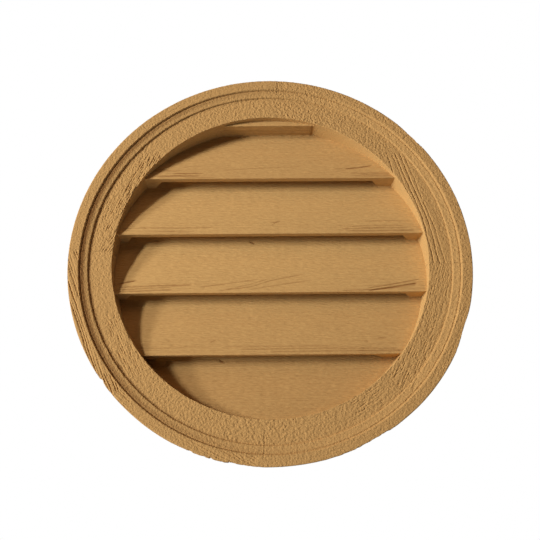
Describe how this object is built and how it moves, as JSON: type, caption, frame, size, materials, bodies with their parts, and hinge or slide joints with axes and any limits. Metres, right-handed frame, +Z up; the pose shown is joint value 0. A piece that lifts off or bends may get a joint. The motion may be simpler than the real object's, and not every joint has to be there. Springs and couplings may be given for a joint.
{
  "type": "round louvred vent",
  "caption": "Round gable vent moulded in one piece: a stepped wood-grain trim ring around slanted louvres with air slots under their lips, and a collar that fits a round wall opening.",
  "frame": {"origin": "centre of the round wall opening, in the plane of the wall's outer face, where the back of the trim ring meets the wall", "axes": "+X to the right for a viewer in front of the wall, +Y into the wall along the axis of the opening, +Z up"},
  "size_m": [0.56, 0.0563, 0.56],
  "materials": {
    "tan_body": "moulded rough-sawn wood grain, painted matt tan"
  },
  "bodies": {
    "root": {"vent": "tan_body"}
  },
  "joints": []
}
